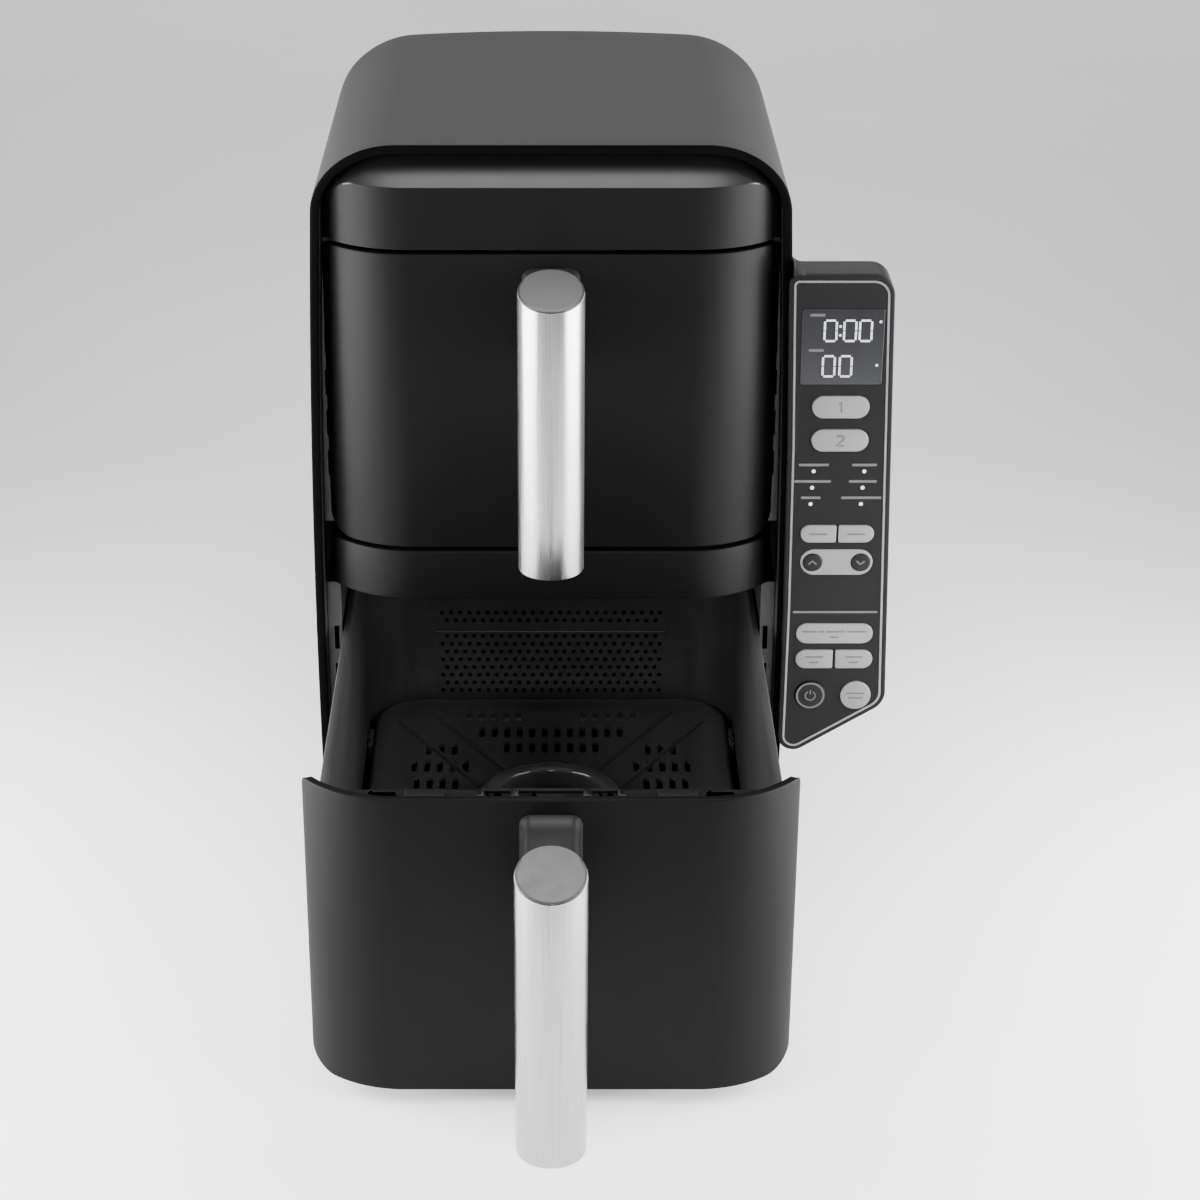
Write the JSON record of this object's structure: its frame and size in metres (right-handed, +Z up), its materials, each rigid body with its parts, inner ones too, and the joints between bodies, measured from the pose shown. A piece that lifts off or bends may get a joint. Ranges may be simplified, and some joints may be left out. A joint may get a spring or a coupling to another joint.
{
  "type": "air fryer",
  "caption": "Stacked air fryer: tall rounded shell, twin pull-out drawers with vertical round handles, crisper plates, rear fans and a side control pod with keys.",
  "frame": {"origin": "bottom centre of the bounding box at rest, on the worktop", "axes": "+Z up, the drawers slide out along -Y, +X is the side with the control pod"},
  "size_m": [0.285, 0.6676, 0.385],
  "materials": {
    "shell_grey": "fine matte texture, dark grey",
    "base_black": "matte black moulding",
    "front_black": "satin black",
    "soft_black": "matt rubber",
    "panel_black": "satin dark grey",
    "trim_silver": "satin silver line",
    "display_glass": "smoked display window",
    "key_grey": "light grey satin",
    "key_black": "black satin",
    "board_green": "solder resist",
    "bay_coated": "dark coated sheet",
    "heater_metal": "heat-tinted steel",
    "motor_metal": "zinc grey",
    "fan_metal": "bare stamped metal",
    "basket_coated": "satin non-stick coating",
    "plate_coated": "satin non-stick coating",
    "handle_steel": "vertically brushed",
    "arm_grey": "dark grey satin",
    "cap_steel": "satin disc",
    "bumper_silicone": "black silicone"
  },
  "bodies": {
    "body": {"outer_shell": "shell_grey", "base_tray": "base_black", "foot_front_left": "soft_black", "foot_front_right": "soft_black", "foot_rear_left": "soft_black", "foot_rear_right": "soft_black", "top_fascia": "front_black", "middle_fascia": "front_black", "rear_cover": "base_black", "cord_gland": "soft_black", "lower_bay": "bay_coated", "lower_fan_guard": "bay_coated", "lower_heater": "heater_metal", "lower_motor": "motor_metal", "upper_bay": "bay_coated", "upper_fan_guard": "bay_coated", "upper_heater": "heater_metal", "upper_motor": "motor_metal", "pod_housing": "shell_grey", "panel_face": "panel_black", "panel_trim": "trim_silver", "display_window": "display_glass", "arrow_bezel": "key_grey", "circuit_board": "board_green"},
    "lower_drawer": {"lower_front_panel": "front_black", "lower_front_backing": "base_black", "lower_basket": "basket_coated", "lower_handle_sleeve": "handle_steel", "lower_handle_core": "arm_grey", "lower_handle_cap": "cap_steel"},
    "lower_plate": {"lower_crisper_plate": "plate_coated", "lower_bumper_front_left": "bumper_silicone", "lower_bumper_front_right": "bumper_silicone", "lower_bumper_rear_left": "bumper_silicone", "lower_bumper_rear_right": "bumper_silicone"},
    "lower_fan_wheel": {"lower_fan": "fan_metal"},
    "upper_drawer": {"upper_front_panel": "front_black", "upper_front_backing": "base_black", "upper_basket": "basket_coated", "upper_handle_sleeve": "handle_steel", "upper_handle_core": "arm_grey", "upper_handle_cap": "cap_steel"},
    "upper_plate": {"upper_crisper_plate": "plate_coated", "upper_bumper_front_left": "bumper_silicone", "upper_bumper_front_right": "bumper_silicone", "upper_bumper_rear_left": "bumper_silicone", "upper_bumper_rear_right": "bumper_silicone"},
    "upper_fan_wheel": {"upper_fan": "fan_metal"},
    "zone_1_key_cap": {"zone_1_key": "key_grey"},
    "zone_2_key_cap": {"zone_2_key": "key_grey"},
    "time_key_cap": {"time_key": "key_grey"},
    "heat_key_cap": {"heat_key": "key_grey"},
    "up_key_cap": {"up_key": "key_black"},
    "down_key_cap": {"down_key": "key_black"},
    "dual_key_cap": {"dual_key": "key_grey"},
    "copy_key_cap": {"copy_key": "key_grey"},
    "hold_key_cap": {"hold_key": "key_grey"},
    "power_key_cap": {"power_key": "key_black"},
    "start_key_cap": {"start_key": "key_grey"}
  },
  "joints": [
    {"name": "lower_drawer_slide", "type": "slide", "parent": "body", "child": "lower_drawer", "axis": [0, -1, 0], "range_m": [-0.197, 0.123]},
    {"name": "lower_plate_lift", "type": "slide", "parent": "lower_drawer", "child": "lower_plate", "axis": [0, 0, 1], "range_m": [0, 0.07]},
    {"name": "lower_fan_spin", "type": "hinge", "parent": "body", "child": "lower_fan_wheel", "pos_m": [-0.02551, 0.29875, 0.075], "axis": [0, 1, 0], "continuous": true},
    {"name": "upper_drawer_slide", "type": "slide", "parent": "body", "child": "upper_drawer", "axis": [0, -1, 0], "range_m": [0, 0.32]},
    {"name": "upper_plate_lift", "type": "slide", "parent": "upper_drawer", "child": "upper_plate", "axis": [0, 0, 1], "range_m": [0, 0.07]},
    {"name": "upper_fan_spin", "type": "hinge", "parent": "body", "child": "upper_fan_wheel", "pos_m": [-0.02551, 0.29875, 0.25425], "axis": [0, 1, 0], "continuous": true},
    {"name": "zone_1_key_press", "type": "slide", "parent": "body", "child": "zone_1_key_cap", "axis": [0, 1, 0], "range_m": [0, 0.0008], "stiffness_N_per_m": 400, "springref_m": -0.002},
    {"name": "zone_2_key_press", "type": "slide", "parent": "body", "child": "zone_2_key_cap", "axis": [0, 1, 0], "range_m": [0, 0.0008], "stiffness_N_per_m": 400, "springref_m": -0.002},
    {"name": "time_key_press", "type": "slide", "parent": "body", "child": "time_key_cap", "axis": [0, 1, 0], "range_m": [0, 0.0008], "stiffness_N_per_m": 400, "springref_m": -0.002},
    {"name": "heat_key_press", "type": "slide", "parent": "body", "child": "heat_key_cap", "axis": [0, 1, 0], "range_m": [0, 0.0008], "stiffness_N_per_m": 400, "springref_m": -0.002},
    {"name": "up_key_press", "type": "slide", "parent": "body", "child": "up_key_cap", "axis": [0, 1, 0], "range_m": [0, 0.0008], "stiffness_N_per_m": 400, "springref_m": -0.002},
    {"name": "down_key_press", "type": "slide", "parent": "body", "child": "down_key_cap", "axis": [0, 1, 0], "range_m": [0, 0.0008], "stiffness_N_per_m": 400, "springref_m": -0.002},
    {"name": "dual_key_press", "type": "slide", "parent": "body", "child": "dual_key_cap", "axis": [0, 1, 0], "range_m": [0, 0.0008], "stiffness_N_per_m": 400, "springref_m": -0.002},
    {"name": "copy_key_press", "type": "slide", "parent": "body", "child": "copy_key_cap", "axis": [0, 1, 0], "range_m": [0, 0.0008], "stiffness_N_per_m": 400, "springref_m": -0.002},
    {"name": "hold_key_press", "type": "slide", "parent": "body", "child": "hold_key_cap", "axis": [0, 1, 0], "range_m": [0, 0.0008], "stiffness_N_per_m": 400, "springref_m": -0.002},
    {"name": "power_key_press", "type": "slide", "parent": "body", "child": "power_key_cap", "axis": [0, 1, 0], "range_m": [0, 0.0008], "stiffness_N_per_m": 400, "springref_m": -0.002},
    {"name": "start_key_press", "type": "slide", "parent": "body", "child": "start_key_cap", "axis": [0, 1, 0], "range_m": [0, 0.0008], "stiffness_N_per_m": 400, "springref_m": -0.002}
  ]
}
